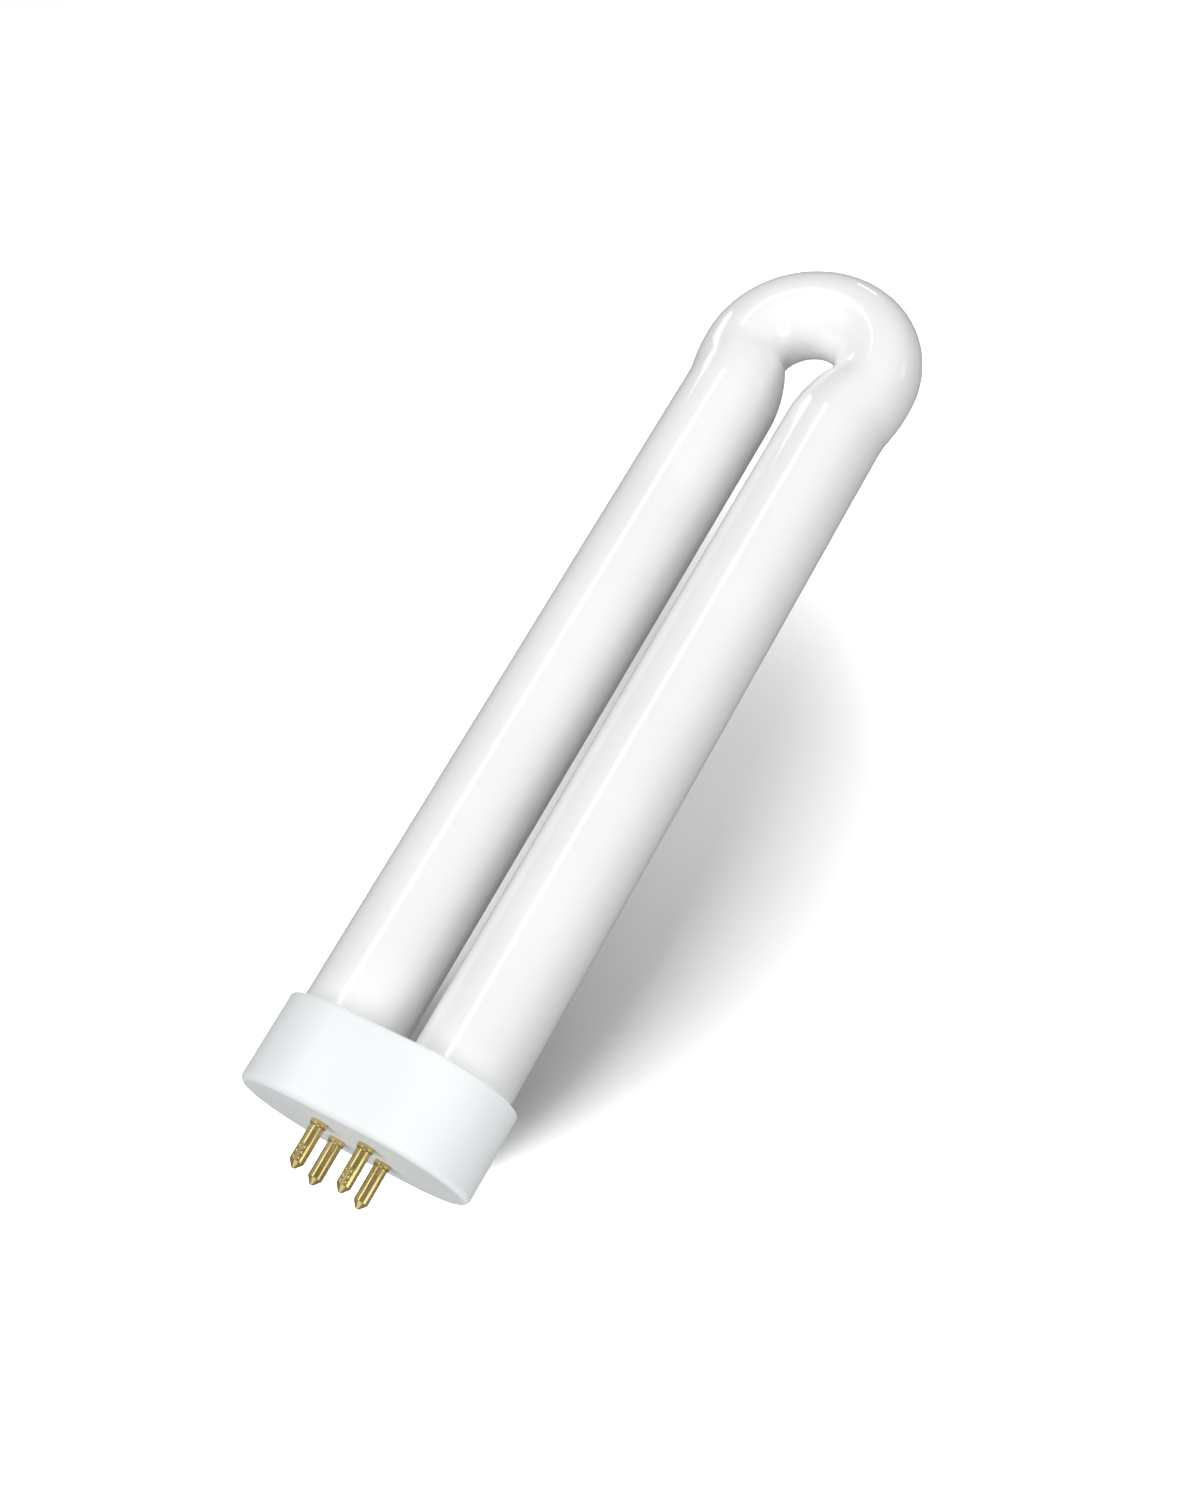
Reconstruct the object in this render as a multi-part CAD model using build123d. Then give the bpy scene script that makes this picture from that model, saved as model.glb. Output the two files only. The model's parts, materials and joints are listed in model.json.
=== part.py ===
"""U-shaped ultraviolet lamp for an insect zapper, lying on its side.

A sealed glass tube is bent into a U and cemented into an oval plastic cup. Four hollow brass pins
are riveted through the floor of the cup, and a lead wire from the tube is crimped inside each one.

The lamp is drawn upright first: X runs across the two legs, Y is the depth of the cup and Z runs
from the pin face up to the bend. It is then laid down as it comes to rest, on the rim of the cup
and on both legs, with the pins towards -X, the bend towards +X and +Z up.
"""

import os
from math import asin, atan2, cos, degrees, hypot, radians, sin

from build123d import *

# Glass tube, heights above the pin face (mm, degrees)
tube_diameter = 25.4
leg_gap = 4.1
leg_end_height = 8.5
leg_end_taper = 3.0
straight_leg_top = 208.3
flare_radius = 32.0
flare_angle = 20.3
bend_narrowing = 2.9
exhaust_tip_diameter = 4.0
exhaust_tip_length = 3.5
exhaust_tip_end_diameter = 1.6
shoulder_sections = 5

# Base shell
base_depth = 39.0
base_height = 22.3
base_wall = 1.6
base_floor = 2.2
base_edge_round = 1.6
rim_round = 0.7
pin_boss_diameter = 7.0
pin_boss_height = 1.5

# Basing cement
cement_gap = 0.55
cement_depth = 8.0
cement_recess = 1.2

# Contact pins
pin_pitch = 12.5
pin_diameter = 3.5
pin_length = 11.4
collar_diameter = 4.1
collar_height = 0.9
collar_taper = 0.5
tip_length = 1.6
tip_end_diameter = 0.9
neck_diameter = 3.0
neck_clearance = 0.05
rivet_diameter = 4.6
rivet_height = 0.5
crimp_count = 3
crimp_pitch = 1.3
crimp_depth = 0.35
crimp_round = 0.55
crimp_above_tip = 0.75

# Lead wires
wire_diameter = 0.6
wire_clearance = 0.05
wire_end_above_tip = 2.2
wire_drop = 1.9
stem_wire_pitch = 6.4

# Sizes that follow from the ones above
tube_radius = tube_diameter / 2
bend_tube_radius = (tube_diameter - bend_narrowing) / 2
leg_x = (tube_diameter + leg_gap) / 2
room_length = 2 * (leg_x + tube_radius + cement_gap)
room_depth = base_depth - 2 * base_wall
base_length = room_length + 2 * base_wall
pin_radius = pin_diameter / 2
pin_offset = pin_pitch / 2
pin_bed = base_floor + pin_boss_height
wire_radius = wire_diameter / 2
bore_radius = wire_radius + wire_clearance

# The bend is an arc centred between the legs, met by a reverse arc on top of each leg
flare = radians(flare_angle)
bend_radius = (leg_x + flare_radius * (1 - cos(flare))) / cos(flare)
bend_height = straight_leg_top + (flare_radius + bend_radius) * sin(flare)


def shoulder_plane(share):
    """Plane across one leg's shoulder, at a share of the way from its straight top to the bend."""
    turn = 2 * flare * share
    if share < 0.5:
        heading = turn
        x = leg_x + flare_radius * (1 - cos(turn))
        z = straight_leg_top + flare_radius * sin(turn)
    else:
        heading = 2 * flare - turn
        x = bend_radius * cos(heading)
        z = bend_height - bend_radius * sin(heading)
    return Plane(origin=(x, 0, z), x_dir=(0, 1, 0), z_dir=(sin(heading), 0, cos(heading)))


def shoulder_radius(share):
    """Radius of the tube there: it narrows smoothly from the leg to the bend."""
    ease = share * share * (3 - 2 * share)
    return tube_radius + (bend_tube_radius - tube_radius) * ease


def shoulder_path():
    """Middle line of one leg's shoulder: out along the flare, then in along the bend."""
    quarters = [shoulder_plane(share).origin for share in (0, 0.25, 0.5, 0.75, 1)]
    flare_arc = ThreePointArc(*quarters[:3])
    bend_arc = ThreePointArc(*quarters[2:])
    return flare_arc + bend_arc


def make_glass_tube():
    """Both legs with their sealed ends, the narrowing shoulders and the round bend, as one solid."""
    leg_length = straight_leg_top - leg_end_height
    leg = Pos(leg_x, 0, leg_end_height) * Cylinder(
        tube_radius, leg_length, align=(Align.CENTER, Align.CENTER, Align.MIN)
    )
    leg = chamfer(leg.edges().sort_by(Axis.Z)[0], leg_end_taper)

    exhaust_tip = Pos(leg_x, 0, leg_end_height) * Cone(
        exhaust_tip_end_diameter / 2,
        exhaust_tip_diameter / 2,
        exhaust_tip_length,
        align=(Align.CENTER, Align.CENTER, Align.MAX),
    )

    shares = [i / (shoulder_sections - 1) for i in range(shoulder_sections)]
    sections = [shoulder_plane(share) * Circle(shoulder_radius(share)) for share in shares]
    shoulder = sweep(sections, path=shoulder_path(), multisection=True)

    half = leg + exhaust_tip + shoulder
    bend_profile = Pos(bend_radius, 0, bend_height) * Circle(bend_tube_radius)
    bend_axis = Axis((0, 0, bend_height), (0, -1, 0))
    bend = revolve(bend_profile, axis=bend_axis, revolution_arc=180)
    return half + bend + mirror(half, about=Plane.YZ)


def pin_places():
    """Where the four pins stand, in a square about the middle of the cup's floor."""
    return [(x, y) for x in (-pin_offset, pin_offset) for y in (pin_offset, -pin_offset)]


def make_base_shell():
    """Moulded cup: flattened oval wall, flat floor and a bored boss under each pin's rivet head."""
    shell = extrude(SlotOverall(base_length, base_depth), base_height)
    shell = fillet(shell.edges().group_by(Axis.Z)[0], base_edge_round)
    shell = fillet(shell.edges().group_by(Axis.Z)[-1], rim_round)
    room = SlotOverall(room_length, room_depth)
    shell -= Pos(0, 0, base_floor) * extrude(room, base_height)

    for x, y in pin_places():
        boss = Pos(x, y, base_floor) * Cylinder(
            pin_boss_diameter / 2, pin_boss_height, align=(Align.CENTER, Align.CENTER, Align.MIN)
        )
        shell += boss
    for x, y in pin_places():
        hole = Pos(x, y, 0) * Cylinder(
            neck_diameter / 2 + neck_clearance, pin_bed, align=(Align.CENTER, Align.CENTER, Align.MIN)
        )
        shell -= hole
    return shell


def make_base_cement():
    """Cement between the cup's wall and both legs, a little below the rim."""
    leg_hole = Circle(tube_radius)
    section = SlotOverall(room_length, room_depth) - Pos(-leg_x, 0) * leg_hole - Pos(leg_x, 0) * leg_hole
    cement_bottom = base_height - cement_recess - cement_depth
    return Pos(0, 0, cement_bottom) * extrude(section, cement_depth)


def make_contact_pin(outward):
    """Turned hollow pin hanging below the floor, riveted above it, crimped on its outward side."""
    collar_radius = collar_diameter / 2
    neck_radius = neck_diameter / 2
    rivet_radius = rivet_diameter / 2
    rivet_top = pin_bed + rivet_height
    bore_bottom = wire_end_above_tip - wire_clearance - pin_length
    profile = Polyline(
        (bore_radius, bore_bottom),
        (bore_radius, rivet_top),
        (rivet_radius, rivet_top),
        (rivet_radius, pin_bed),
        (neck_radius, pin_bed),
        (neck_radius, 0),
        (collar_radius, 0),
        (collar_radius, -collar_height),
        (pin_radius, -collar_height - collar_taper),
        (pin_radius, tip_length - pin_length),
        (tip_end_diameter / 2, -pin_length),
        (0, -pin_length),
        (0, bore_bottom),
        close=True,
    )
    pin = revolve(Plane.XZ * make_face(profile), axis=Axis.Z)

    notch_y = outward * (pin_radius - crimp_depth + crimp_round)
    for i in range(crimp_count):
        notch_z = tip_length + crimp_above_tip + i * crimp_pitch - pin_length
        notch = Pos(0, notch_y, notch_z) * Rot(0, 90, 0) * Cylinder(crimp_round, pin_diameter)
        pin -= notch
    return pin


def make_lead_wire(x, y):
    """Wire from the sealed end of the leg on the pin's own side, over to the pin and down its bore."""
    side_x = 1 if x > 0 else -1
    side_y = 1 if y > 0 else -1
    stem = (side_x * leg_x, side_y * stem_wire_pitch / 2)
    run_height = leg_end_height - wire_drop
    route = Polyline(
        (*stem, leg_end_height),
        (*stem, run_height),
        (x, y, run_height),
        (x, y, wire_end_above_tip - pin_length),
    )
    start = Plane(origin=(*stem, leg_end_height), z_dir=(0, 0, -1))
    return sweep(start * Circle(wire_radius), path=route, transition=Transition.RIGHT)


def resting_plane():
    """The lamp's own frame once laid down: it tips until its legs meet the surface the rim lies on."""
    run = straight_leg_top - (base_height - rim_round)
    fall = base_depth / 2 - rim_round
    tip = atan2(fall, run) - asin((tube_radius - rim_round) / hypot(run, fall))
    return Plane(origin=(0, 0, 0), x_dir=(0, 1, 0), z_dir=(cos(tip), 0, -sin(tip)))


def make_parts():
    """Every piece of the lamp by name, in the upright frame."""
    parts = {
        "glass_tube": make_glass_tube(),
        "base_shell": make_base_shell(),
        "base_cement": make_base_cement(),
    }
    for number, (x, y) in enumerate(pin_places(), start=1):
        outward = 1 if y > 0 else -1
        parts[f"contact_pin_{number}"] = Pos(x, y, 0) * make_contact_pin(outward)
        parts[f"lead_wire_{number}"] = make_lead_wire(x, y)
    return parts


def lay_down(parts):
    """The pieces laid to rest, with the origin under the middle of the lamp's box."""
    laid = {name: resting_plane() * piece for name, piece in parts.items()}
    box = Compound(children=[piece.solid() for piece in laid.values()]).bounding_box()
    to_origin = Pos(-box.center().X, -box.center().Y, -box.min.Z)
    return {name: to_origin * piece for name, piece in laid.items()}


os.makedirs("parts", exist_ok=True)
lamp = lay_down(make_parts())
for name, piece in lamp.items():
    export_step(piece, f"parts/{name}.step")
print(f"bend radius {bend_radius:.2f} mm, centre of the bend {bend_height:.2f} mm above the pin face")
print(f"resting tilt {degrees(asin(-resting_plane().z_dir.Z)):.3f} degrees")
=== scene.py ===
# %% [markdown]
# # A U-shaped ultraviolet lamp
# This lamp comes out of an insect zapper. A glass tube, white from the powder that lines it, is bent
# into a U and cemented into an oval plastic cup, and four brass pins stand out of the cup's floor.
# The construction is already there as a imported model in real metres. This lesson loads it, leaves it
# where it is, and gives each piece that shows a finer mesh and a finish.

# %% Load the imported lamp
import json
from math import asin, cos, degrees, exp, hypot, pi, radians, sin, tan

import bmesh
import bpy
from mathutils import Matrix, Vector, noise
from mathutils.geometry import delaunay_2d_cdt


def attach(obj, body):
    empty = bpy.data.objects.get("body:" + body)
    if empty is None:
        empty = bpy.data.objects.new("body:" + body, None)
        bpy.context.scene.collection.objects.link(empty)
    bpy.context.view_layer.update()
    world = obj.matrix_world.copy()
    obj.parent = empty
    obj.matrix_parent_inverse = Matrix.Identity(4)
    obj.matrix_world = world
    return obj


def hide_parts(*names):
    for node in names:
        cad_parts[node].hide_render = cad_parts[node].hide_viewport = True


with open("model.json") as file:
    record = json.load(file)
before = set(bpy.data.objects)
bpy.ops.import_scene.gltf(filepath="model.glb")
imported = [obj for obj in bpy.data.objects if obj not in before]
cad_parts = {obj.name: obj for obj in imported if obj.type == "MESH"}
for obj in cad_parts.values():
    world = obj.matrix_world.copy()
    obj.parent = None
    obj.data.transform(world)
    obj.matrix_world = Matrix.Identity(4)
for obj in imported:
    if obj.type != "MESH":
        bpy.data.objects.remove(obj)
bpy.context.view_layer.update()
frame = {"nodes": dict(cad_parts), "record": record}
MM = 0.001


def in_mm(lengths):
    """Lengths in metres, as rounded millimetres to print."""
    return [round(length / MM, 1) for length in lengths]


print("nodes:", ", ".join(sorted(frame["nodes"])))

# %% [markdown]
# ## The lamp's own frame
# The lamp lies on the floor, tipped by two degrees, because the cup is deeper than the legs are
# thick. Its pieces are far easier to draw upright: X across the legs, Y along the cup's depth, Z from
# the pin face up to the bend. One matrix then lays every finished mesh down.
# The matrix could be typed in, but the record already says where the four pins are and which way they
# point. Worked out from those, it stays right when the construction is packed again.

# %% Find the upright frame from the pins
pin_mounts = [mount for mount in frame["record"]["mounts"] if mount["kind"] == "pin"]
pin_wall = pin_mounts[0]["dims"]["length_mm"] * MM
collar_height = 0.9 * MM
collar_taper = 0.5 * MM

pins_middle = sum((Vector(mount["pos_m"]) for mount in pin_mounts), Vector()) / len(pin_mounts)
lamp_up = -Vector(pin_mounts[0]["axis"]).normalized()
lamp_across = Vector((0, 1, 0))
lamp_depth = lamp_up.cross(lamp_across)
face_middle = pins_middle + lamp_up * (pin_wall / 2 + collar_height + collar_taper)
laid_down = Matrix((lamp_across, lamp_depth, lamp_up)).transposed().to_4x4()
laid_down.translation = face_middle
print("pin face at mm:", in_mm(face_middle), "tipped by degrees:", round(degrees(asin(-lamp_up.z)), 3))

# %% [markdown]
# ## Small tools for node trees
# A Geometry Nodes tree is a recipe: it takes a mesh and a few named sizes and returns another mesh.
# It could be drawn by hand in the node editor. Written as a script, it can be read from top to bottom
# and made again. These helpers add a node with its settings and its wires in one go, start and end a
# tree, and run a finished tree once, so that what is left is a plain mesh with no modifier on it.

# %% Helpers for nodes
def set_inputs(tree, node, inputs):
    """Give inputs of a node, by name or number, a value or a wire from another node's output."""
    for label, value in inputs.items():
        if isinstance(value, bpy.types.NodeSocket):
            tree.links.new(value, node.inputs[label])
        else:
            node.inputs[label].default_value = value


def add_node(tree, kind, inputs=None, **settings):
    """One node of that kind, with its settings and inputs."""
    node = tree.nodes.new(kind)
    for setting, value in settings.items():
        setattr(node, setting, value)
    set_inputs(tree, node, inputs or {})
    return node


# %% Helpers for Geometry Nodes trees
def start_tree(name, sizes):
    """A new tree, and the sockets of what it is given: a mesh and the named sizes."""
    tree = bpy.data.node_groups.new(name, "GeometryNodeTree")
    for label, kind in {"Geometry": "Geometry", **sizes}.items():
        tree.interface.new_socket(label, in_out="INPUT", socket_type=f"NodeSocket{kind}")
    tree.interface.new_socket("Geometry", in_out="OUTPUT", socket_type="NodeSocketGeometry")
    return tree, add_node(tree, "NodeGroupInput").outputs


def end_tree(tree, geometry, finish):
    """End a tree in real geometry with its finish, because the export drops instances."""
    whole = add_node(tree, "GeometryNodeRealizeInstances", {"Geometry": geometry})
    dressed = add_node(
        tree, "GeometryNodeSetMaterial", {"Geometry": whole.outputs["Geometry"], "Material": finish}
    )
    add_node(tree, "NodeGroupOutput", {"Geometry": dressed.outputs["Geometry"]})


def run_tree(tree, mesh, sizes):
    """The plain mesh that the tree makes from this mesh and these sizes."""
    carrier = bpy.data.objects.new(tree.name, mesh)
    bpy.context.scene.collection.objects.link(carrier)
    modifier = carrier.modifiers.new(tree.name, "NODES")
    modifier.node_group = tree
    for item in tree.interface.items_tree:
        if item.in_out == "INPUT" and item.name in sizes:
            modifier[item.identifier] = sizes[item.name]
    made = bpy.data.meshes.new_from_object(carrier.evaluated_get(bpy.context.evaluated_depsgraph_get()))
    carrier.modifiers.clear()
    bpy.data.objects.remove(carrier)
    return made


# %% [markdown]
# ## Handing a piece over
# Every finished mesh ends the same way. It is laid down by the matrix, so that its place is in its
# vertices and its object stays at the origin. Its faces are shaded smooth except at real corners.
# Then the construction nodes it stands for are hidden, and it hangs from the root body.

# %% Helper for finished pieces
corner_angle = radians(40)


def hand_over(name, mesh, nodes):
    """Lay a mesh down as a finished piece that stands for those nodes."""
    mesh.name = name
    mesh.transform(laid_down)
    mesh.shade_smooth()
    mesh.set_sharp_from_angle(angle=corner_angle)
    piece = bpy.data.objects.new(name, mesh)
    bpy.context.scene.collection.objects.link(piece)
    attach(piece, "root")
    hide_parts(*nodes)
    triangles = sum(len(face.vertices) - 2 for face in mesh.polygons)
    print(f"{name}: {triangles} triangles, stands for {len(nodes)} node(s)")
    return piece


# %% [markdown]
# ## Small tools for finishes
# Each finish is one Principled shader. What is the same all over is set on the shader's own sockets,
# and what varies comes from noise on Object coordinates. Those are metres here, so a noise scale of
# 100 means a pattern about a centimetre across. Pictures of real surfaces could be used instead, but
# noise needs no file and stays sharp at any distance.

# %% Helpers for finishes
def start_finish(name):
    """A material, its node tree and its Principled shader."""
    material = bpy.data.materials.new(name)
    material.use_nodes = True
    return material, material.node_tree, material.node_tree.nodes["Principled BSDF"]


def object_noise(tree, scale, stretch=(1, 1, 1), detail=3.0):
    """Noise on Object coordinates, stretched per axis."""
    place = add_node(tree, "ShaderNodeTexCoord")
    mapping = add_node(tree, "ShaderNodeMapping", {"Vector": place.outputs["Object"], "Scale": stretch})
    pattern = add_node(tree, "ShaderNodeTexNoise", {
        "Vector": mapping.outputs["Vector"],
        "Scale": scale,
        "Detail": detail,
    })
    return pattern.outputs["Fac"]


def two_colours(tree, pattern, dark, light, spread=(0.35, 0.65)):
    """A colour between two, picked by a pattern."""
    ramp = add_node(tree, "ShaderNodeValToRGB", {"Fac": pattern})
    for stop, position, colour in zip(ramp.color_ramp.elements, spread, (dark, light)):
        stop.position = position
        stop.color = (*colour, 1)
    return ramp.outputs["Color"]


def between(tree, pattern, low, high):
    """A number between two, picked by a pattern."""
    inputs = {"Value": pattern, "To Min": low, "To Max": high}
    return add_node(tree, "ShaderNodeMapRange", inputs).outputs["Result"]


def relief(tree, pattern, strength, depth):
    """A surface normal with the pattern's relief."""
    inputs = {"Height": pattern, "Strength": strength, "Distance": depth}
    return add_node(tree, "ShaderNodeBump", inputs).outputs["Normal"]


# %% [markdown]
# ## The opal glass finish
# The tube is clear glass with a layer of white powder on its inside. Light scatters in the powder,
# and the bare glass over it mirrors the lights sharply. Real transparent glass over a second white
# surface would show this, but it renders slowly. A clear coat over a soft white body gives both at
# once.
# The powder is never quite even, so its white drifts a little, and drawn tube has faint lines along
# its length.

# %% Opal glass
def make_opal_glass():
    """White powder under smooth clear glass."""
    material, tree, shader = start_finish("glass_over_powder")
    powder = object_noise(tree, scale=28)
    drawn_lines = object_noise(tree, scale=60, stretch=(0.05, 1, 1))
    set_inputs(tree, shader, {
        "Base Color": two_colours(tree, powder, dark=(0.835, 0.845, 0.84), light=(0.87, 0.877, 0.873)),
        "Roughness": 0.45,
        "Specular IOR Level": 0.2,
        "Coat Weight": 1.0,
        "Coat Roughness": 0.035,
        "Coat IOR": 1.5,
        "Coat Normal": relief(tree, drawn_lines, strength=0.04, depth=0.3 * MM),
    })
    return material


opal_glass = make_opal_glass()
print("finish:", opal_glass.name)

# %% [markdown]
# ## The glass tube
# The tube follows one path: up a straight leg, out along a short flare, round the bend and down
# again. On the way through the shoulder it gets a little thinner, because the glass stretches as it
# is bent.
# It could be joined from cylinders and part of a ring, but the joints would show in every mirrored
# line. A path with a rule for the thickness is just what Curve to Mesh takes. So the script lays the
# middle line and writes on each point how much thinner the tube is there, and a node tree sweeps a
# circle along it.

# %% Sizes of the tube
tube_radius = 12.7 * MM
leg_x = 14.75 * MM
leg_end_height = 8.5 * MM
leg_end_taper = 3.0 * MM
exhaust_tip_length = 3.5 * MM
exhaust_tip_radius = 2.0 * MM
exhaust_tip_end_radius = 0.8 * MM
straight_leg_top = 208.3 * MM
flare_radius = 32.0 * MM
flare = radians(20.3)
bend_thinning = 1.45 * MM
bend_radius = (leg_x + flare_radius * (1 - cos(flare))) / cos(flare)
bend_height = straight_leg_top + (flare_radius + bend_radius) * sin(flare)
print("bend radius and height of its centre in mm:", in_mm((bend_radius, bend_height)))

# %% Middle line of the tube
ring_turn = radians(2.0)
ring_spacing = 4.0 * MM
ledge_rise = 0.01 * MM  # keeps the two rings of a flat ledge apart


def steps(start, end, size):
    """Evenly spaced values from just after start up to end."""
    count = max(1, round(abs(end - start) / size))
    return [start + (end - start) * i / count for i in range(1, count + 1)]


def eased(share):
    """A smooth step from 0 to 1."""
    share = min(1.0, max(0.0, share))
    return share * share * (3 - 2 * share)


def half_tube():
    """Points (x, z, thinning) from one leg's exhaust tip to the top of the bend."""
    taper_top = leg_end_height + leg_end_taper
    line = [
        (leg_x, leg_end_height - exhaust_tip_length, tube_radius - exhaust_tip_end_radius),
        (leg_x, leg_end_height - ledge_rise, tube_radius - exhaust_tip_radius),
        (leg_x, leg_end_height, leg_end_taper),
        (leg_x, taper_top, 0),
    ]
    line += [(leg_x, z, 0) for z in steps(taper_top, straight_leg_top, ring_spacing)]
    for turn in steps(0, flare, ring_turn):
        x = leg_x + flare_radius * (1 - cos(turn))
        z = straight_leg_top + flare_radius * sin(turn)
        line.append((x, z, bend_thinning * eased(turn / flare / 2)))
    for turn in steps(-flare, pi / 2, ring_turn):
        thinning = bend_thinning * eased(0.5 + (turn + flare) / flare / 2)
        line.append((bend_radius * cos(turn), bend_height + bend_radius * sin(turn), thinning))
    return line


right_half = half_tube()
middle_line = right_half + [(-x, z, thinning) for x, z, thinning in reversed(right_half[:-1])]
print("rings of the tube:", len(middle_line))

# %% Sweep the tube
tube_sides = 96


def make_tube_tree():
    """Sweep a circle along a line of points that say how much thinner than the leg the tube is."""
    sizes = {"Leg Radius": "Float", "Sides": "Int", "Finish": "Material"}
    tree, given = start_tree("tube_along_line", sizes)
    line = add_node(tree, "GeometryNodeMeshToCurve", {"Mesh": given["Geometry"]})
    thinning = add_node(tree, "GeometryNodeInputNamedAttribute", {"Name": "thinning"})
    radius = add_node(tree, "ShaderNodeMath", operation="SUBTRACT")
    set_inputs(tree, radius, {0: given["Leg Radius"], 1: thinning.outputs["Attribute"]})
    circle = add_node(tree, "GeometryNodeCurvePrimitiveCircle", {
        "Resolution": given["Sides"],
        "Radius": 1.0,
    })
    tube = add_node(tree, "GeometryNodeCurveToMesh", {
        "Curve": line.outputs["Curve"],
        "Profile Curve": circle.outputs["Curve"],
        "Scale": radius.outputs["Value"],
        "Fill Caps": True,
    })
    end_tree(tree, tube.outputs["Mesh"], given["Finish"])
    return tree


def line_mesh(line):
    """The middle line as a mesh of edges, with the thinning on its points."""
    mesh = bpy.data.meshes.new("middle_line")
    edges = [(i, i + 1) for i in range(len(line) - 1)]
    mesh.from_pydata([(x, 0, z) for x, z, thinning in line], edges, [])
    attribute = mesh.attributes.new("thinning", "FLOAT", "POINT")
    attribute.data.foreach_set("value", [thinning for x, z, thinning in line])
    return mesh


tube_sizes = {"Leg Radius": tube_radius, "Sides": tube_sides, "Finish": opal_glass}
tube_mesh = run_tree(make_tube_tree(), line_mesh(middle_line), tube_sizes)
glass_tube = hand_over("opal_glass_tube", tube_mesh, ["glass_tube"])

# %% [markdown]
# ## The finish of the cup
# The cup is moulded in a cool white plastic with a satin skin. One flat white would look like paper.
# Up close such a skin has a very fine grain from the mould, and neither its white nor its gloss is
# the same everywhere, so one slow noise drives both and a fine one gives the grain.

# %% Base plastic
def make_base_plastic():
    """Cool white moulded plastic with a fine satin grain."""
    material, tree, shader = start_finish("satin_white_plastic")
    drift = object_noise(tree, scale=45)
    grain = object_noise(tree, scale=2200, detail=2.0)
    set_inputs(tree, shader, {
        "Base Color": two_colours(tree, drift, dark=(0.832, 0.862, 0.872), light=(0.862, 0.89, 0.9)),
        "Roughness": between(tree, drift, low=0.36, high=0.46),
        "Specular IOR Level": 0.4,
        "Normal": relief(tree, grain, strength=0.08, depth=0.05 * MM),
    })
    return material


base_plastic = make_base_plastic()
print("finish:", base_plastic.name)

# %% [markdown]
# ## The cup
# Seen from the pins, the cup is a slot shape: two half circles joined by straight sides. A block with
# bevels and a hollow cut into it would do, but its edges would be hard to keep even. Instead, every
# ring of its surface is such a slot outline, pulled in by some inset at some height. So the whole cup
# is one list of (inset, height) corners, rounded where the real edges are round.
# Where the inset reaches the full radius, the ring closes to a line, and that closes the floor
# without a pole.

# %% Section of the cup
base_length = 59.2 * MM
base_depth = 39.0 * MM
base_height = 22.3 * MM
base_wall = 1.6 * MM
base_floor = 2.2 * MM
base_edge_round = 1.6 * MM
rim_round = 0.7 * MM
rim_inner_round = 0.2 * MM
slot_radius = base_depth / 2
slot_half_run = (base_length - base_depth) / 2


def rounded(corners, arc_steps=8):
    """A line through corners (a, b, radius), with each corner that has a radius turned into an arc."""
    line = []
    for i, (a, b, radius) in enumerate(corners):
        corner = Vector((a, b))
        if not radius:
            line.append(corner)
            continue
        to_last = (Vector(corners[i - 1][:2]) - corner).normalized()
        to_next = (Vector(corners[i + 1][:2]) - corner).normalized()
        half_angle = to_last.angle(to_next) / 2
        centre = corner + (to_last + to_next).normalized() * radius / sin(half_angle)
        first = corner + to_last * radius / tan(half_angle) - centre
        last = corner + to_next * radius / tan(half_angle) - centre
        turn = -first.angle_signed(last)  # angle_signed counts clockwise, Rotation the other way
        for step in range(arc_steps + 1):
            angle = turn * step / arc_steps
            line.append(centre + Matrix.Rotation(angle, 2) @ first)
    return line


cup_section = rounded([
    (slot_radius, 0, 0),
    (slot_radius / 2, 0, 0),
    (2 * base_edge_round, 0, 0),
    (0, 0, base_edge_round),
    (0, 2 * base_edge_round, 0),
    (0, base_height - 2 * rim_round, 0),
    (0, base_height, rim_round),
    (base_wall, base_height, rim_inner_round),
    (base_wall, base_height - rim_round, 0),
    (base_wall, base_floor, 0),
    (slot_radius / 2, base_floor, 0),
    (slot_radius, base_floor, 0),
])
print("points of the cup's section:", len(cup_section))

# %% Rings of the cup
half_turn_steps = 56
side_steps = 10
hair = 0.001 * MM  # points closer than this count as one


def slot_ring(inset, height):
    """Points of a slot outline pulled in by an inset, at a height."""
    radius = slot_radius - inset
    ring = []
    for side in (1, -1):
        for step in range(half_turn_steps + 1):
            turn = pi * (step / half_turn_steps - side / 2)
            ring.append((side * slot_half_run + radius * cos(turn), radius * sin(turn), height))
        for step in range(1, side_steps):
            share = 1 - 2 * step / side_steps
            ring.append((side * slot_half_run * share, side * radius, height))
    return ring


def mesh_from(shape, name):
    """A mesh of a finished shape, with its faces turned outwards."""
    bmesh.ops.recalc_face_normals(shape, faces=shape.faces)
    mesh = bpy.data.meshes.new(name)
    shape.to_mesh(mesh)
    shape.free()
    return mesh


def skin_rings(name, rings):
    """A mesh skinned over rings with the same number of points, with its doubles merged."""
    shape = bmesh.new()
    rows = [[shape.verts.new(point) for point in ring] for ring in rings]
    for low, high in zip(rows, rows[1:]):
        for i in range(len(low)):
            j = (i + 1) % len(low)
            shape.faces.new((low[i], low[j], high[j], high[i]))
    bmesh.ops.remove_doubles(shape, verts=shape.verts, dist=hair)
    bmesh.ops.dissolve_degenerate(shape, dist=hair, edges=shape.edges)
    return mesh_from(shape, name)


cup_blank = skin_rings("cup_blank", [slot_ring(inset, height) for inset, height in cup_section])
print("faces of the cup's blank:", len(cup_blank.polygons))

# %% [markdown]
# ## Bosses and holes for the pins
# Inside, under each pin's rivet head, the floor has a round boss, and a hole for the pin's neck goes
# through both. The eight cylinders could be placed one by one. But the four pins stand in a square,
# so a tree sets one cylinder on four points and joins or cuts all of them at once.

# %% Parts of the boring tree
bore_sides = 64


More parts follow.
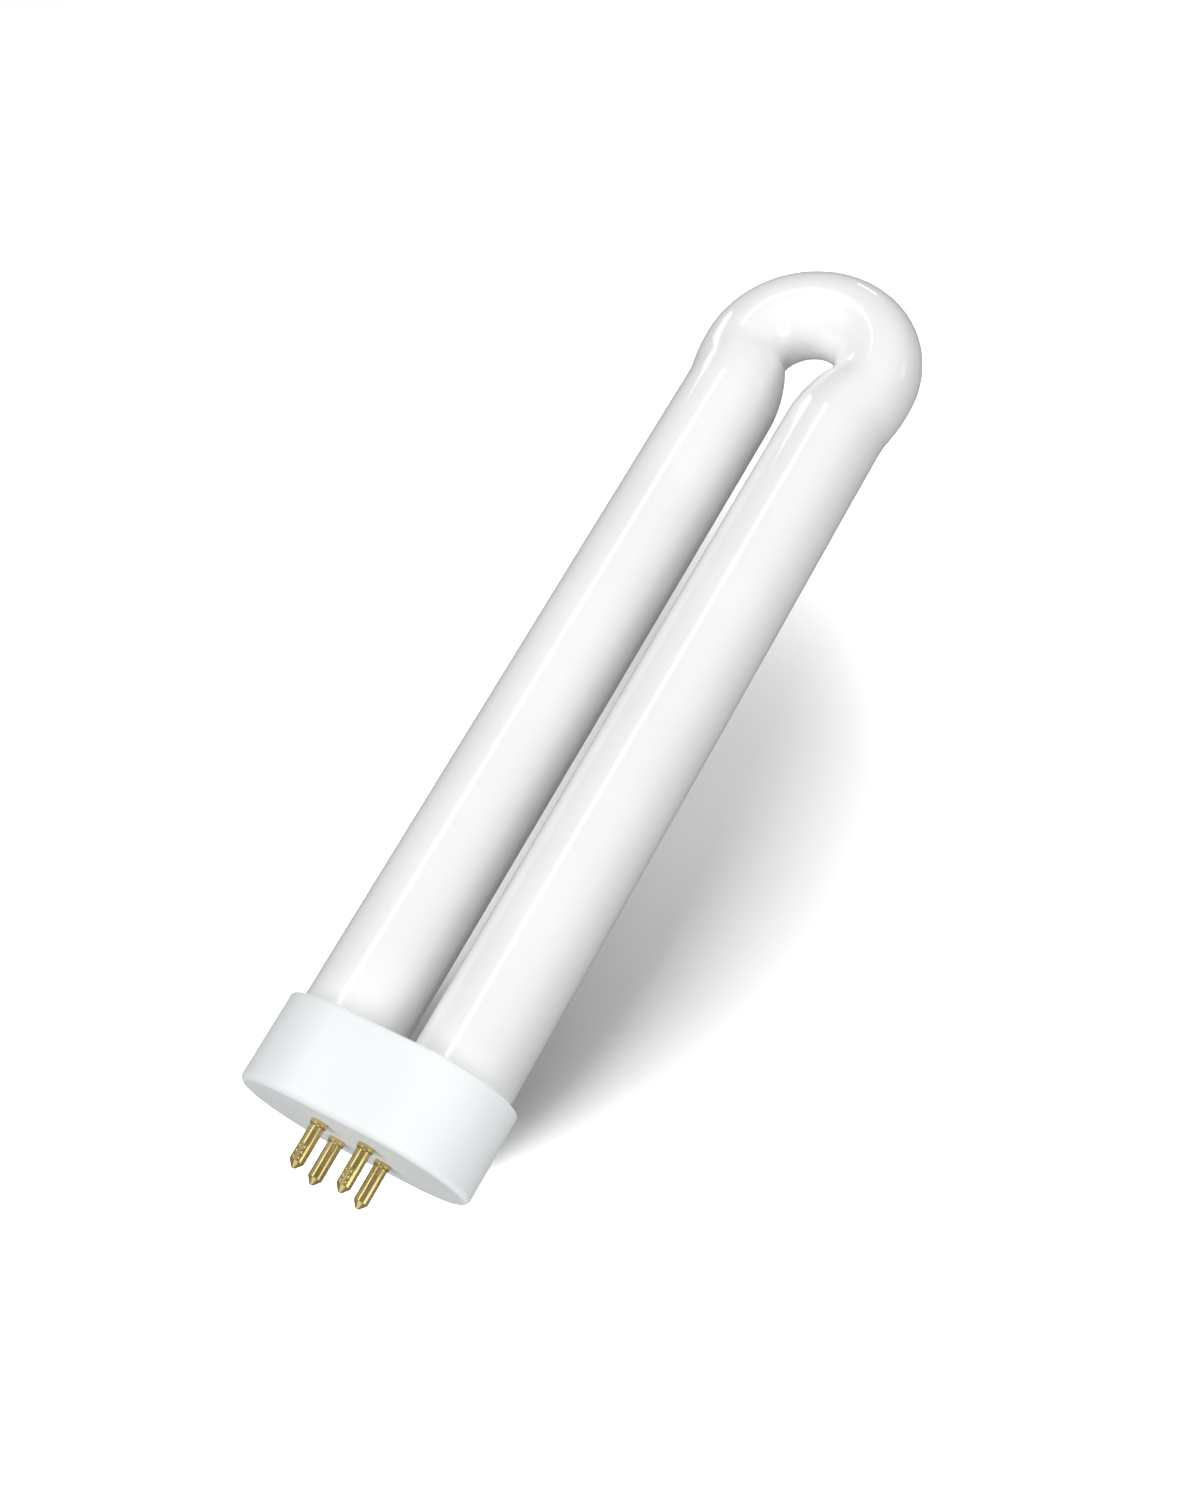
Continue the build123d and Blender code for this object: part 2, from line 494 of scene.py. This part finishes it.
def pin_square(tree, pitch):
    """The four points where the pins stand."""
    sizes = {"Size X": pitch, "Size Y": pitch, "Vertices X": 2, "Vertices Y": 2}
    return add_node(tree, "GeometryNodeMeshGrid", sizes).outputs["Mesh"]


def times(tree, number, factor):
    """A number multiplied by a factor."""
    product = add_node(tree, "ShaderNodeMath", {0: number, 1: factor}, operation="MULTIPLY")
    return product.outputs["Value"]


def cylinders_on(tree, points, radius, height, middle):
    """A cylinder on each point, with its middle at that height above it."""
    body = add_node(tree, "GeometryNodeMeshCylinder", {
        "Vertices": bore_sides,
        "Radius": radius,
        "Depth": height,
    })
    place = add_node(tree, "ShaderNodeCombineXYZ", {"Z": middle})
    raised = add_node(tree, "GeometryNodeTransform", {
        "Geometry": body.outputs["Mesh"],
        "Translation": place.outputs["Vector"],
    })
    each = add_node(tree, "GeometryNodeInstanceOnPoints", {
        "Points": points,
        "Instance": raised.outputs["Geometry"],
    })
    whole = add_node(tree, "GeometryNodeRealizeInstances", {"Geometry": each.outputs["Instances"]})
    return whole.outputs["Geometry"]


# %% Bore the cup
pin_pitch = 12.5 * MM
boss_height = 1.5 * MM
boring_sizes = {
    "Pin Pitch": pin_pitch,
    "Boss Radius": 3.5 * MM,
    "Boss Height": boss_height,
    "Hole Radius": 1.55 * MM,
    "Floor": base_floor,
}


def make_boring_tree():
    """Join a boss to the floor at each point of a square, and cut a hole through it."""
    sizes = {**dict.fromkeys(boring_sizes, "Float"), "Finish": "Material"}
    tree, given = start_tree("bosses_and_holes", sizes)
    points = pin_square(tree, given["Pin Pitch"])
    # Half of each boss is sunk in the floor and each hole runs past both ends, so no faces coincide
    boss_depth = times(tree, given["Boss Height"], 2)
    hole_depth = times(tree, given["Floor"], 4)
    bosses = cylinders_on(tree, points, given["Boss Radius"], boss_depth, given["Floor"])
    holes = cylinders_on(tree, points, given["Hole Radius"], hole_depth, given["Floor"])
    joined = add_node(tree, "GeometryNodeMeshBoolean", operation="UNION", solver="EXACT")
    for mesh in (given["Geometry"], bosses):
        tree.links.new(mesh, joined.inputs["Mesh"])
    bored = add_node(tree, "GeometryNodeMeshBoolean", operation="DIFFERENCE", solver="EXACT")
    set_inputs(tree, bored, {"Mesh 1": joined.outputs["Mesh"], "Mesh 2": holes})
    end_tree(tree, bored.outputs["Mesh"], given["Finish"])
    return tree


cup_blank.materials.append(base_plastic)  # or the tree leaves an empty slot before its finish
cup_mesh = run_tree(make_boring_tree(), cup_blank, {**boring_sizes, "Finish": base_plastic})
base_cup = hand_over("base_cup", cup_mesh, ["base_shell"])

# %% [markdown]
# ## The cement's finish
# Basing cement sets like fine mortar: off-white, dull and grainy, with a few darker specks. A smooth
# dull white would pass for more plastic, so one noise gives the specks and a finer, rougher one the
# grain.

# %% Basing cement
def make_cement_finish():
    """Dull off-white mortar with a coarse and a fine grain."""
    material, tree, shader = start_finish("grainy_cement")
    specks = object_noise(tree, scale=900, detail=6.0)
    grain = object_noise(tree, scale=1600, detail=8.0)
    set_inputs(tree, shader, {
        "Base Color": two_colours(
            tree, specks, dark=(0.5, 0.485, 0.445), light=(0.7, 0.69, 0.65), spread=(0.3, 0.6)
        ),
        "Roughness": 0.92,
        "Specular IOR Level": 0.25,
        "Normal": relief(tree, grain, strength=0.6, depth=0.15 * MM),
    })
    return material


cement_finish = make_cement_finish()
print("finish:", cement_finish.name)

# %% [markdown]
# ## The cement in the cup
# The cement fills the cup between its wall and the two legs, a little below the rim. It was poured,
# so it creeps up wherever it wets glass or plastic and is slightly uneven between.
# Its outline is a slot with two round holes. A filled curve would give long thin triangles. A
# Delaunay triangulation of points inside that outline gives even ones, whose corners can be lifted
# one by one.

# %% Outline of the cement
cement_depth = 8.0 * MM
cement_recess = 1.2 * MM
cement_top = base_height - cement_recess
cement_bottom = cement_top - cement_depth
grain_spacing = 0.7 * MM
room_radius = slot_radius - base_wall


def leg_distance(x, y):
    """How far a point lies outside the nearer leg's glass."""
    return hypot(abs(x) - leg_x, y) - tube_radius


def wall_distance(x, y):
    """How far a point lies inside the cup's inner wall."""
    return room_radius - hypot(max(0.0, abs(x) - slot_half_run), y)


def edge_distance(x, y):
    """How far a point lies inside the cement's nearest edge."""
    return min(leg_distance(x, y), wall_distance(x, y))


def cement_loops():
    """The cement's edges: one loop along the cup's wall and one round each leg."""
    loops = [[Vector(point[:2]) for point in slot_ring(base_wall, 0)]]
    around = round(2 * pi * tube_radius / grain_spacing)
    turns = [2 * pi * i / around for i in range(around)]
    for leg in (-leg_x, leg_x):
        ring = [(leg + tube_radius * cos(turn), tube_radius * sin(turn)) for turn in turns]
        loops.append([Vector(point) for point in ring])
    return loops


cement_points, outline_edges = [], []
for loop in cement_loops():
    start = len(cement_points)
    outline_edges += [(start + i, start + (i + 1) % len(loop)) for i in range(len(loop))]
    cement_points += loop
print("edges on the cement's outline:", len(outline_edges))

# %% Points inside the cement
edge_margin = 0.4 * grain_spacing


def inner_points():
    """Staggered rows of points between the edges."""
    columns = int(base_length / grain_spacing)
    rows = int(base_depth / grain_spacing)
    points = []
    for row in range(rows):
        for column in range(columns):
            x = (column + 0.5 * (row % 2) - columns / 2) * grain_spacing
            y = (row - rows / 2) * grain_spacing
            if edge_distance(x, y) > edge_margin:
                points.append(Vector((x, y)))
    return points


cement_points += inner_points()
print("points of the cement:", len(cement_points))

# %% Fill the cement
creep_height = 0.45 * MM
creep_reach = 0.8 * MM
unevenness = 0.12 * MM
lump_scale = 350
edge_tolerance = 0.02 * MM


def cement_height(x, y):
    """Height of the poured surface: it creeps up at the walls and is lumpy between."""
    nearest = max(0.0, edge_distance(x, y))
    lumps = noise.noise(Vector((x, y, 0)) * lump_scale)
    return cement_top + creep_height * exp(-nearest / creep_reach) + unevenness * lumps


def make_cement():
    """The filled outline, lifted to the poured surface and closed below."""
    # Output type 0 is triangles over everything, so those outside the outline are left out below
    flat, _, faces, *_ = delaunay_2d_cdt(cement_points, outline_edges, [], 0, hair)
    shape = bmesh.new()
    top = [shape.verts.new((x, y, cement_height(x, y))) for x, y in flat]
    low = [shape.verts.new((x, y, cement_bottom)) for x, y in flat]
    for face in faces:
        middle = sum((flat[i] for i in face), Vector((0, 0))) / len(face)
        if edge_distance(*middle) > -edge_tolerance:
            shape.faces.new([top[i] for i in face])
            shape.faces.new([low[i] for i in reversed(face)])
    top_index = {vertex: i for i, vertex in enumerate(top)}
    top_rim = [edge for edge in shape.edges if edge.is_boundary and edge.verts[0] in top_index]
    for edge in top_rim:
        first, second = (top_index[vertex] for vertex in edge.verts)
        shape.faces.new((top[first], top[second], low[second], low[first]))
    loose = [vertex for vertex in shape.verts if not vertex.link_faces]
    bmesh.ops.delete(shape, geom=loose, context="VERTS")
    mesh = mesh_from(shape, "cement")
    mesh.materials.append(cement_finish)
    return mesh


cement = hand_over("basing_cement", make_cement(), ["base_cement"])

# %% [markdown]
# ## The brass finish
# The pins are bare turned brass: a warm metal, smooth enough to mirror the lights as soft bars, with
# an olive cast where it has begun to tarnish. Lines of the tool could be added, but at this size they
# are finer than a pixel and only turn into a coarse hatch. So one noise makes the tarnish, in colour
# and in gloss.

# %% Pin brass
def make_pin_brass():
    """Smooth turned brass with a little tarnish."""
    material, tree, shader = start_finish("turned_brass")
    tarnish = object_noise(tree, scale=160, detail=2.0)
    set_inputs(tree, shader, {
        "Base Color": two_colours(tree, tarnish, dark=(0.62, 0.49, 0.2), light=(0.72, 0.58, 0.26)),
        "Metallic": 1.0,
        "Roughness": between(tree, tarnish, low=0.2, high=0.28),
    })
    return material


pin_brass = make_pin_brass()
print("finish:", pin_brass.name)

# %% [markdown]
# ## One pin
# A pin is turned, so its shape is one profile spun about its axis: a conical tip, a straight body, a
# flared collar against the cup, a neck through the floor and a rivet head inside. A narrow bore takes
# the lead wire. After the wire goes in, a tool squeezes the pin from outside and leaves three small
# dents. A boolean would cut them with hard edges. Pressed metal bulges up round a dent, so the spun
# mesh is pushed in and out point by point instead.

# %% Sizes of a pin
pin_radius = pin_mounts[0]["dims"]["r_mm"] * MM
pin_length = 11.4 * MM
tip_length = 1.6 * MM
tip_base = tip_length - pin_length
tip_end_radius = 0.45 * MM
collar_radius = 2.05 * MM
neck_radius = 1.5 * MM
pin_bed = base_floor + boss_height
rivet_radius = 2.3 * MM
rivet_height = 0.5 * MM
rivet_top = pin_bed + rivet_height
bore_radius = 0.35 * MM
bore_end_above_tip = 2.15 * MM
bore_bottom = bore_end_above_tip - pin_length
tip_end_round, tip_round = 0.3 * MM, 0.25 * MM
body_round, collar_round, face_round = 0.35 * MM, 0.3 * MM, 0.12 * MM
rivet_round = 0.2 * MM
print("pin of", in_mm([2 * pin_radius, pin_length]), "mm with a collar of", in_mm([2 * collar_radius]))

# %% Rings of a pin
crimp_margin = 0.2 * MM
crimp_low = tip_base + crimp_margin
crimp_high = -5.4 * MM
crimp_ring = 0.08 * MM

pin_profile = rounded([
    (0, -pin_length, 0),
    (tip_end_radius, -pin_length, tip_end_round),
    (pin_radius, tip_base, tip_round),
    *((pin_radius, z, 0) for z in steps(crimp_low, crimp_high, crimp_ring)),
    (pin_radius, -collar_height - 2 * collar_taper, 0),
    (pin_radius, -collar_height - collar_taper, body_round),
    (collar_radius, -collar_height, collar_round),
    (collar_radius, 0, face_round),
    (neck_radius, 0, 0),
    (neck_radius, pin_bed, 0),
    (rivet_radius, pin_bed, 0),
    (rivet_radius, rivet_top, rivet_round),
    (bore_radius, rivet_top, 0),
    (bore_radius, bore_bottom, 0),
    (0, bore_bottom, 0),
], arc_steps=5)
print("points of a pin's profile:", len(pin_profile))

# %% Spin and crimp a pin
pin_sides = 72
dent_count = 3
dent_pitch = 1.3 * MM
dent_depth = 0.35 * MM
dent_half_height = 0.62 * MM
dent_half_width = 1.05 * MM
dent_above_tip = 0.75 * MM
first_dent = tip_base + dent_above_tip
lip_height = 0.05 * MM
lip_reach, lip_spread = 1.1, 0.15  # as shares of a dent's own reach


def crimp_push(across, z):
    """How far the crimp moves the surface there: dents with a raised lip round each."""
    push = 0.0
    for i in range(dent_count):
        reach = hypot(across / dent_half_width, (z - first_dent - i * dent_pitch) / dent_half_height)
        if reach < 1:
            push -= dent_depth * (1 + cos(pi * reach)) / 2
        push += lip_height * exp(-((reach - lip_reach) / lip_spread) ** 2)
    return push


def pin_ring(radius, z):
    """One ring of a pin, pushed by the crimp on its +Y side."""
    on_body = abs(radius - pin_radius) < hair and z < crimp_high
    ring = []
    for i in range(pin_sides):
        turn = 2 * pi * i / pin_sides
        across = (turn - pi / 2) * pin_radius
        pushed = radius + (crimp_push(across, z) if on_body else 0)
        ring.append((pushed * cos(turn), pushed * sin(turn), z))
    return ring


one_pin = skin_rings("one_pin", [pin_ring(radius, z) for radius, z in pin_profile])
one_pin.materials.append(pin_brass)  # as on the cup's blank, so that no slot is left empty
print("faces of one pin:", len(one_pin.polygons))

# %% [markdown]
# ## Four pins in a square
# The four pins are the same part, set in a square and turned so that each crimp faces the nearer long
# side of the cup. They could be copied by hand, but then a change to one pin would have to be made
# four times. A tree sets the one pin on the four points of a grid and gives those at the back half a
# turn.

# %% Set the pins
def make_pin_tree():
    """Set one pin on each point of a square, with its crimp turned outwards."""
    tree, given = start_tree("pins_in_square", {"Pin Pitch": "Float", "Finish": "Material"})
    place = add_node(tree, "GeometryNodeInputPosition")
    axes = add_node(tree, "ShaderNodeSeparateXYZ", {"Vector": place.outputs["Position"]})
    behind = add_node(tree, "ShaderNodeMath", {0: axes.outputs["Y"], 1: 0.0}, operation="LESS_THAN")
    angles = add_node(tree, "ShaderNodeCombineXYZ", {"Z": times(tree, behind.outputs["Value"], pi)})
    rotation = add_node(tree, "FunctionNodeEulerToRotation", {"Euler": angles.outputs["Vector"]})
    pins = add_node(tree, "GeometryNodeInstanceOnPoints", {
        "Points": pin_square(tree, given["Pin Pitch"]),
        "Instance": given["Geometry"],
        "Rotation": rotation.outputs["Rotation"],
    })
    end_tree(tree, pins.outputs["Instances"], given["Finish"])
    return tree


pins_mesh = run_tree(make_pin_tree(), one_pin, {"Pin Pitch": pin_pitch, "Finish": pin_brass})
pin_nodes = sorted(name for name in frame["nodes"] if name.startswith("contact_pin"))
contact_pins = hand_over("contact_pins", pins_mesh, pin_nodes)

# %% [markdown]
# ## The lead wires
# Four thin nickel wires run from the glass to the pins inside the cup. They can't be seen, and their
# construction shape is right as it is. A finer mesh would add nothing, so they keep theirs and only
# get a finish that is scored along the wire, as drawn wire is.

# %% Lead wires
def make_wire_finish():
    """Drawn nickel wire, scored along its length."""
    material, tree, shader = start_finish("drawn_nickel")
    scores = object_noise(tree, scale=3000, stretch=(0.05, 1, 1), detail=2.0)
    set_inputs(tree, shader, {
        "Base Color": two_colours(tree, scores, dark=(0.5, 0.48, 0.44), light=(0.66, 0.64, 0.6)),
        "Metallic": 1.0,
        "Roughness": between(tree, scores, low=0.25, high=0.4),
    })
    return material


wire_finish = make_wire_finish()
wires = [node for name, node in sorted(frame["nodes"].items()) if name.startswith("lead_wire")]
for wire in wires:
    wire.data.materials.clear()
    wire.data.materials.append(wire_finish)
print("wires:", len(wires), "with", wire_finish.name)

# %% [markdown]
# ## The floor
# The lamp lies on a plain pale floor, lit so brightly that it turns white in the picture. It is part
# of the stage, not of the lamp.
# A white floor would also light the lamp from below and show in the glass, and both would wash out
# the grey edges that set white glass off from a white ground. A photographer would put black cards
# beside the lamp. Here the floor is simply hidden from the rays that carry mirror images and bounced
# light.

# %% Floor
floor_half_side = 0.7


def make_floor():
    """A plain pale floor under the lamp."""
    material, tree, shader = start_finish("pale_floor")
    drift = object_noise(tree, scale=3)
    set_inputs(tree, shader, {
        "Base Color": two_colours(tree, drift, dark=(0.89, 0.89, 0.89), light=(0.9, 0.9, 0.9)),
        "Roughness": 0.8,
        "Specular IOR Level": 0.1,
    })
    half = floor_half_side
    corners = [(-half, -half, 0), (half, -half, 0), (half, half, 0), (-half, half, 0)]
    mesh = bpy.data.meshes.new("floor")
    mesh.from_pydata(corners, [], [(0, 1, 2, 3)])
    mesh.materials.append(material)
    floor = bpy.data.objects.new("floor", mesh)
    bpy.context.scene.collection.objects.link(floor)
    floor.visible_glossy = False
    floor.visible_diffuse = False
    return floor


floor = make_floor()
print("floor:", floor.name)

# %% [markdown]
# ## Small tools for lights
# A light is data, such as its kind, size and power, on an object that gives its place and direction.
# Two helpers make the two kinds used here, flat panels and soft-edged spots, and turn them to face a
# point.
# In a studio, cards keep a light off what it should not reach. Light linking does that here: a light
# can be given a group of pieces, and it then reaches those alone. The same goes for what may shade
# it.

# %% Helpers for lights
spot_softness = 0.03


def face_light(name, source, place, target):
    """An object for a light, at a place and facing a target."""
    light = bpy.data.objects.new(name, source)
    light.location = place
    light.rotation_mode = "QUATERNION"
    light.rotation_quaternion = (Vector(target) - Vector(place)).to_track_quat("-Z", "Y")
    bpy.context.scene.collection.objects.link(light)
    return light


def panel_light(name, place, target, size, power):
    """A rectangular light."""
    source = bpy.data.lights.new(name, "AREA")
    source.shape = "RECTANGLE"
    source.size, source.size_y = size
    source.energy = power
    return face_light(name, source, place, target)


def spot_light(name, place, target, cone, power):
    """A spot with a soft edge."""
    source = bpy.data.lights.new(name, "SPOT")
    source.spot_size = cone
    source.spot_blend = 1.0
    source.shadow_soft_size = spot_softness
    source.energy = power
    return face_light(name, source, place, target)


# %% Helpers for light linking
def group_of(name, *pieces):
    """A group of pieces, for light linking."""
    group = bpy.data.collections.new(name)
    for piece in pieces:
        group.objects.link(piece)
    return group


def reach_only(light, pieces):
    """Let a light reach those pieces only, and stay out of mirror images."""
    light.light_linking.receiver_collection = pieces
    light.visible_glossy = False


# %% [markdown]
# ## Soft light on the lamp
# White on white only reads by its shading. Large soft panels round the lamp leave the middle of each
# leg bright and let both its edges fall off to grey.
# One set of panels for everything would be simpler, but the cup is cooler and more evenly lit than
# the glass. So each has its own set, hidden from mirror images, because the glass would show every
# panel as a white square. One panel looks in past the pins, along the gap, and lights the wall of the
# bend's hole. Only the cup may shade it. A narrow spot lifts the top of the bend to full white.

# %% Soft lights
stage_middle = (0, 0, 0)
small_panel, large_panel = (0.5, 0.5), (0.6, 0.6)
high_left, low_right, past_bend = (0, 0.6, 1.04), (0, -1.16, 0.31), (0.92, 0, 0.77)


def soft_lights(pieces, panels):
    """A panel facing the lamp for each (name, place, size, power), for those pieces alone."""
    for name, place, size, power in panels:
        light = panel_light(name, place, stage_middle, size, power)
        reach_only(light, pieces)
    print(f"{len(panels)} soft lights for {pieces.name}")


glass_only = group_of("glass_only", glass_tube)
soft_lights(glass_only, [
    ("glass_left", high_left, small_panel, 7.2),
    ("glass_right", (0, -0.92, 0.77), large_panel, 1.6),
    ("glass_low_right", low_right, large_panel, 7.4),
    ("glass_past_bend", past_bend, large_panel, 3.9),
    ("glass_past_pins", (-0.6, 0, 1.04), large_panel, 4.9),
])

cup_only = group_of("cup_only", base_cup, cement)
soft_lights(cup_only, [
    ("cup_left", high_left, small_panel, 6.2),
    ("cup_low_right", low_right, large_panel, 10.6),
    ("cup_past_bend", past_bend, large_panel, 8.8),
    ("cup_past_pins", (-1.13, 0, 0.41), large_panel, 9.4),
])

# %% Lights for the bend
into_hole = panel_light("into_hole", (-1.195, 0, 0.105), stage_middle, large_panel, 7.8)
into_hole.light_linking.blocker_collection = cup_only
bend_top = spot_light("bend_top", (0.0, 0.15, 0.6), (0.128, 0, 0.03), radians(7), 0.15)
for light in (into_hole, bend_top):
    reach_only(light, glass_only)
print("lights for the bend:", into_hole.name, bend_top.name)

# %% [markdown]
# ## Light on the floor
# A low panel to the left of the pins throws the lamp's soft shadow to the right. The rest of the
# floor should be plain white. A brighter panel would burn the shadow out as well.
# So three spots fill the floor from the camera's own place: a wide one for all of it, one for its far
# half and a narrow one under the bend. Nothing on the lamp shades them, so they add no second shadow.
# They only thin the first one out, from deep beside the cup to nothing at the bend.

# %% Floor lights
floor_only = group_of("floor_only", floor)
camera_place = Vector((-163.895578, -192.217962, 445.061838)) * MM

floor_key = panel_light("floor_key", (-0.92, 0.35, 0.23), stage_middle, (0.65, 0.35), 62.0)
reach_only(floor_key, floor_only)
floor_fills = [
    spot_light("floor_fill", camera_place, (0.1, -0.05, 0), radians(90), 2.4),
    spot_light("far_fill", camera_place, (0.24, 0.04, 0), radians(66), 5.7),
    spot_light("bend_fill", camera_place, (0.19, -0.03, 0), radians(30), 22.6),
]
for light in floor_fills:
    reach_only(light, floor_only)
    light.light_linking.blocker_collection = floor_only
print("floor lights:", floor_key.name, *(light.name for light in floor_fills))

# %% [markdown]
# ## Light to be mirrored
# The long bright line on each leg is the mirror image of a strip light, and the small glints on the
# bend are those of lights farther off. They could be painted on the glass, but a painted glint stays
# put when the view moves. Where a mirror image appears follows from the glass alone, so each light
# stands where its glint points to. All are hidden from diffuse light and only show in reflections.
# Three are for one glint each on the bend, so they reach the glass alone.

# %% Mirrored lights
bend_middle = (0.1, 0, 0.02)
glints = [
    panel_light("bend_panel", (-0.29, 0.32, 0.8), (-0.29, 0, 0.02), (0.52, 0.7), 1.3),
    panel_light("hole_glint", (-0.34, -2.66, 1.28), (0.11, 0, 0.02), (1.3, 1.1), 26.0),
    panel_light("bend_glint", (0.72, -0.7, 0.16), (0.1, -0.03, 0.02), (0.16, 0.14), 0.2),
]
for light in glints:
    light.light_linking.receiver_collection = glass_only
strips = [
    panel_light("long_strip", (0.08, 0.28, 0.66), (0.08, 0, 0.02), (1.0, 0.13), 1.3),
    panel_light("left_strip", (0.58, 0.74, 0.18), bend_middle, (0.1, 0.3), 0.24),
    panel_light("front_strip", (1.0, 0.17, 0.04), bend_middle, (0.12, 0.06), 0.5),
]
for light in strips + glints:
    light.visible_diffuse = False
print("mirrored lights:", ", ".join(light.name for light in strips + glints))

# %% [markdown]
# ## Light for the pins
# Metal shows nothing but what it mirrors, and in this dim room brass would look dull. One bright dome
# round it would be simpler, but it would leave no dark bars. Three panels of its own, bright on the
# right, weak on the left and one in front, give each pin its light and dark bars.

# %% Pin lights
pins_only = group_of("pins_only", contact_pins)
pins_target = (-0.13, 0, 0.02)
pin_panels = [
    panel_light("pin_right", (-0.13, -0.5, 0.12), pins_target, (0.6, 0.3), 0.9),
    panel_light("pin_left", (-0.13, 0.45, 0.35), pins_target, (0.6, 0.45), 0.22),
    panel_light("pin_front", (-0.75, 0, 0.25), pins_target, (0.6, 0.5), 0.75),
]
for light in pin_panels:
    light.light_linking.receiver_collection = pins_only
print("pin lights:", ", ".join(light.name for light in pin_panels))

# %% [markdown]
# ## The room
# Round the stage there is nothing to see but a pale backdrop. A real white wall would also light the
# lamp and fill the glass with white. The Light Path node tells apart the rays that reach the world:
# those straight from the view find it pale, those off glass or metal find it dim grey, and all others
# find it black.
# The view transform stays plain, so that a full white comes out as white, as on a product photo.

# %% Room
def make_room(mirrored, seen):
    """A world that is grey to reflections, pale where it is seen past the floor, and lights nothing."""
    world = bpy.data.worlds.new("room")
    world.use_nodes = True
    tree = world.node_tree
    path = add_node(tree, "ShaderNodeLightPath")
    in_mirrors = times(tree, path.outputs["Is Glossy Ray"], mirrored)
    in_all = add_node(tree, "ShaderNodeMath", operation="MULTIPLY_ADD")
    set_inputs(tree, in_all, {0: path.outputs["Is Camera Ray"], 1: seen, 2: in_mirrors})
    set_inputs(tree, tree.nodes["Background"], {
        "Color": (1, 1, 1, 1),
        "Strength": in_all.outputs["Value"],
    })
    bpy.context.scene.world = world
    return world


room = make_room(mirrored=0.31, seen=0.95)
bpy.context.scene.view_settings.view_transform = "Standard"
print("room:", room.name)

# %% [markdown]
# ## The camera
# The camera looks down on the lamp from the pin end and from its right. It could be turned by eye,
# but the straight edges of the legs and the cup leave little choice: with a plain 50 mm lens, one
# place and one turn fit them all. They are written as a direction to look in and a direction that is
# up in the picture.

# %% Camera
camera_forward = Vector((0.304994, 0.383486, -0.871732)).normalized()
picture_up = Vector((0.828779, 0.344043, 0.441315)).normalized()
camera_right = camera_forward.cross(picture_up).normalized()
camera_up = camera_right.cross(camera_forward)

camera_data = bpy.data.cameras.new("camera")
camera_data.lens = 50
camera_data.sensor_width = 36
camera_data.clip_start = 0.01
camera = bpy.data.objects.new("camera", camera_data)
bpy.context.scene.collection.objects.link(camera)
turned = Matrix((camera_right, camera_up, -camera_forward)).transposed().to_4x4()
turned.translation = camera_place
camera.matrix_world = turned
bpy.context.scene.camera = camera
print("camera at mm:", in_mm(camera.location))
